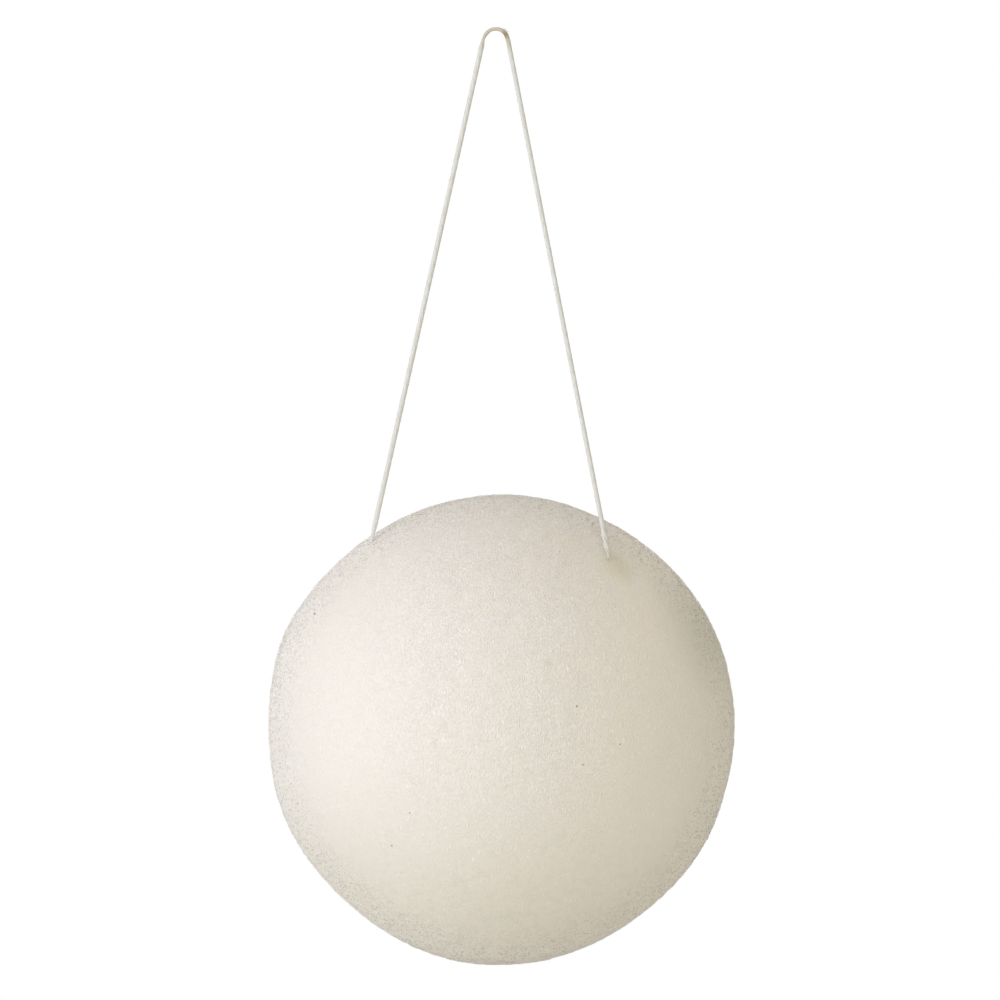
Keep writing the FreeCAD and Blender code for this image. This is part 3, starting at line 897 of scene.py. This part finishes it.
def gel_shares(gel, place):
    """How much there is, at each place of the gel, of all that changes its colour or its relief, painted shade and
    painted glints among them.
    """
    dry = dryness(gel, place)
    low = low_share(gel, place)
    rim = rim_share(gel, place, PORE_BAND)
    grainy = gel.math("MAXIMUM", dry, rim)
    porous = gel.math("MAXIMUM", rim, gel.product(dry, DRY_PORES))
    fibres = slanted(gel, place, GEL_FIBRE_TURN, GEL_FIBRE_STRETCH)
    pores = slanted(gel, place, PORE_TURN, PORE_STRETCH)
    mottle = gel.noise(place, MOTTLE_SCALE, MOTTLE_DETAIL)
    cloud = gel.noise(place, CLOUD_SCALE, CLOUD_DETAIL)
    return {
        "grain": gel.noise(fibres, GEL_GRAIN_SCALE, GEL_GRAIN_DETAIL),
        "dry": dry,
        "wet": gel.math("SUBTRACT", gel.spread(mottle, *MOTTLE_RANGE, *WET_SHARES), dry),
        "low": low,
        "cloud": gel.product(gel.spread(cloud, *CLOUD_RANGE), low),
        # Pale raised flecks, partly painted glints.
        "bright": gel.product(gel.dots(fibres, *BRIGHT_DOTS), grainy),
        "dim": gel.product(gel.dots(fibres, *DIM_DOTS), grainy),
        # Rim pores: sunken relief, and painted shade in their hollows.
        "pore": gel.product(gel.dots(pores, *PORE_DOTS), porous, front_share(gel, place)),
        # The thin band of painted shade along the outline.
        "rim": rim_share(gel, place, SHADED_EDGE_BAND),
        # Tiny painted glints, scattered over the grainy skin.
        "sparkle": gel.product(gel.dots(place, *SPARKLE_DOTS), grainy),
        # Glints at the upper rim: glossier gel, and a painted glint in the colour.
        "glint": gel.product(gel.dots(pores, *GLINT_DOTS), rim, high_share(gel, place)),
    }


def gel_colour(gel, place, shares):
    colour = gel.mix(gel.spread(shares["grain"], *GEL_GRAIN_RANGE), GEL_DEEP, GEL_PALE)
    for name, strength, other in GEL_TINTS:
        colour = gel.tint(colour, shares[name], strength, other)
    # Darker places; the one over the upper right rim is a painted shade.
    for x, z, radius, strength, other in HALOS.values():
        halo = gel.near(place, sponge_form.on_front(x, z), radius, 0.0)
        colour = gel.tint(colour, halo, strength, other)
    squeezed = gel.vector("MULTIPLY", place, SPECK_SQUEEZE)
    for x, z, radius in SPECKS:
        speck = gel.near(squeezed, sponge_form.on_front(x, z) * SPECK_SQUEEZE, radius, radius * SPECK_CORE)
        colour = gel.tint(colour, speck, SPECK_TINT, SPECK_COLOUR)
    return colour


def gel_normal(gel, shares):
    """The gel's fine relief: its dry grain, its raised flecks and its pores."""
    relief = gel.product(shares["grain"], shares["dry"])
    relief = gel.math("MULTIPLY_ADD", shares["bright"], FLECK_RELIEF, relief)
    relief = gel.math("MULTIPLY_ADD", shares["pore"], PORE_RELIEF, relief)
    return gel.add("ShaderNodeBump", Strength=1.0, Distance=RELIEF_HEIGHT, Height=relief).outputs["Normal"]


def sponge_material():
    gel = Material("konjac_gel")
    place = gel.millimetres()
    shares = gel_shares(gel, place)
    gel.shade(
        Base_Color=gel_colour(gel, place, shares),
        Normal=gel_normal(gel, shares),
        Roughness=gel.math("MULTIPLY_ADD", shares["glint"], GLINT_ROUGHNESS - GEL_ROUGHNESS, GEL_ROUGHNESS),
        Specular_IOR_Level=gel.math("MULTIPLY_ADD", shares["glint"], GLINT_GLOSS - GEL_GLOSS, GEL_GLOSS),
        Subsurface_Weight=SUBSURFACE_WEIGHT,
        Subsurface_Radius=SUBSURFACE_RADIUS,
        Subsurface_Scale=SUBSURFACE_SCALE,
    )
    return gel.material


def cord_material():
    cotton = Material("cotton_cord")
    place = cotton.millimetres()
    fibre = cotton.noise(cotton.vector("MULTIPLY", place, COTTON_STRETCH), COTTON_SCALE, COTTON_DETAIL)
    colour = cotton.mix(cotton.spread(fibre, *COTTON_RANGE), COTTON_DEEP, COTTON_PALE)
    stain = cotton.near(place, STAIN_MIDDLE, STAIN_RADIUS, STAIN_RADIUS * STAIN_CORE)
    colour = cotton.tint(colour, stain, STAIN_TINT, STAIN_COLOUR)
    rub = cotton.near(place, RUB_MIDDLE, RUB_RADIUS, 0.0)
    colour = cotton.tint(colour, rub, RUB_TINT, RUB_COLOUR)
    wet = cotton.near(place, channel.at(channel.mouth), WET_RADIUS, 0.0)
    colour = cotton.tint(colour, wet, WET_TINT, WET_COTTON_COLOUR)
    cotton.shade(Base_Color=colour, Roughness=COTTON_ROUGHNESS, Sheen_Weight=COTTON_SHEEN)
    return cotton.material


def make_camera():
    data = bpy.data.cameras.new("camera")
    data.sensor_width = CAMERA_SENSOR
    data.lens = data.sensor_width * CAMERA_DISTANCE / PICTURE_WIDTH
    data.clip_end = CAMERA_REACH
    camera = bpy.data.objects.new("camera", data)
    camera.location = PICTURE_MIDDLE - Vector((0.0, CAMERA_DISTANCE, 0.0))
    camera.rotation_euler = (math.radians(90), 0.0, 0.0)
    bpy.context.scene.collection.objects.link(camera)
    bpy.context.scene.camera = camera


def make_lamp(name, place, power, colour):
    data = bpy.data.lights.new(name, "AREA")
    data.size = LAMP_SIZE
    data.energy = power
    data.color = colour
    lamp = bpy.data.objects.new(name, data)
    lamp.location = place
    aim = Vector(sponge_form.back) - Vector(place)
    lamp.rotation_euler = aim.to_track_quat("-Z", "Y").to_euler()
    lamp.visible_camera = False
    bpy.context.scene.collection.objects.link(lamp)


def white_ray(nodes):
    """One for the rays that see the background itself, and zero for those that light the object."""
    path = nodes.add("ShaderNodeLightPath")
    glossy = nodes.math("MAXIMUM", path.outputs["Is Camera Ray"], path.outputs["Is Glossy Ray"])
    return nodes.math("MAXIMUM", glossy, path.outputs["Is Transmission Ray"])


def make_world():
    world = bpy.data.worlds.new("studio")
    bpy.context.scene.world = world
    world.use_nodes = True
    nodes = Nodes(world.node_tree)
    background = nodes.tree.nodes["Background"]
    white = white_ray(nodes)
    nodes.put(background, "Color", nodes.mix(white, AMBIENT_COLOUR, WHITE))
    strength = nodes.add("ShaderNodeMix", Factor=white, A=AMBIENT_STRENGTH, B=1.0)
    nodes.put(background, "Strength", strength.outputs["Result"])


def floor_material():
    """A pale floor that fades into the white around it."""
    floor = Material("pale_floor")
    floor.shade(
        Base_Color=FLOOR_COLOUR,
        Roughness=1.0,
        Emission_Color=WHITE,
        Emission_Strength=floor.product(white_ray(floor), FLOOR_GLOW),
    )
    coords = floor.add("ShaderNodeTexCoord")
    away = floor.vector("LENGTH", coords.outputs["Object"])
    clear = floor.add("ShaderNodeBsdfTransparent")
    faded = floor.add("ShaderNodeMixShader", Fac=floor.spread(away, *FLOOR_FADE))
    floor.put(faded, 1, floor.shader.outputs[0])
    floor.put(faded, 2, clear.outputs[0])
    floor.put(floor.tree.nodes["Material Output"], "Surface", faded.outputs[0])
    return floor.material


def make_floor():
    """A floor well below the sponge, which takes its shadow."""
    low = cad_box[0][2] - FLOOR_DROP
    around = np.linspace(0.0, 2 * math.pi, FLOOR_SIDES, endpoint=False)
    verts = [(FLOOR_RADIUS * math.cos(a), FLOOR_RADIUS * math.sin(a), low) for a in around]
    floor = mesh_piece("floor", verts, [tuple(range(len(verts)))], floor_material())


make_camera()
cord = cord_material()
cord_line = make_hanging_loop(cord)
make_cord_end(-1, "left_cord_end", "knotted_end_left", cord)
make_cord_end(1, "right_cord_end", "knotted_end_right", cord)
make_sponge(sponge_material(), cord_line)
for lamp_name, (lamp_place, lamp_power, lamp_colour) in LAMPS.items():
    make_lamp(lamp_name, lamp_place, lamp_power, lamp_colour)
make_world()
make_floor()
bpy.context.scene.view_settings.view_transform = "Standard"
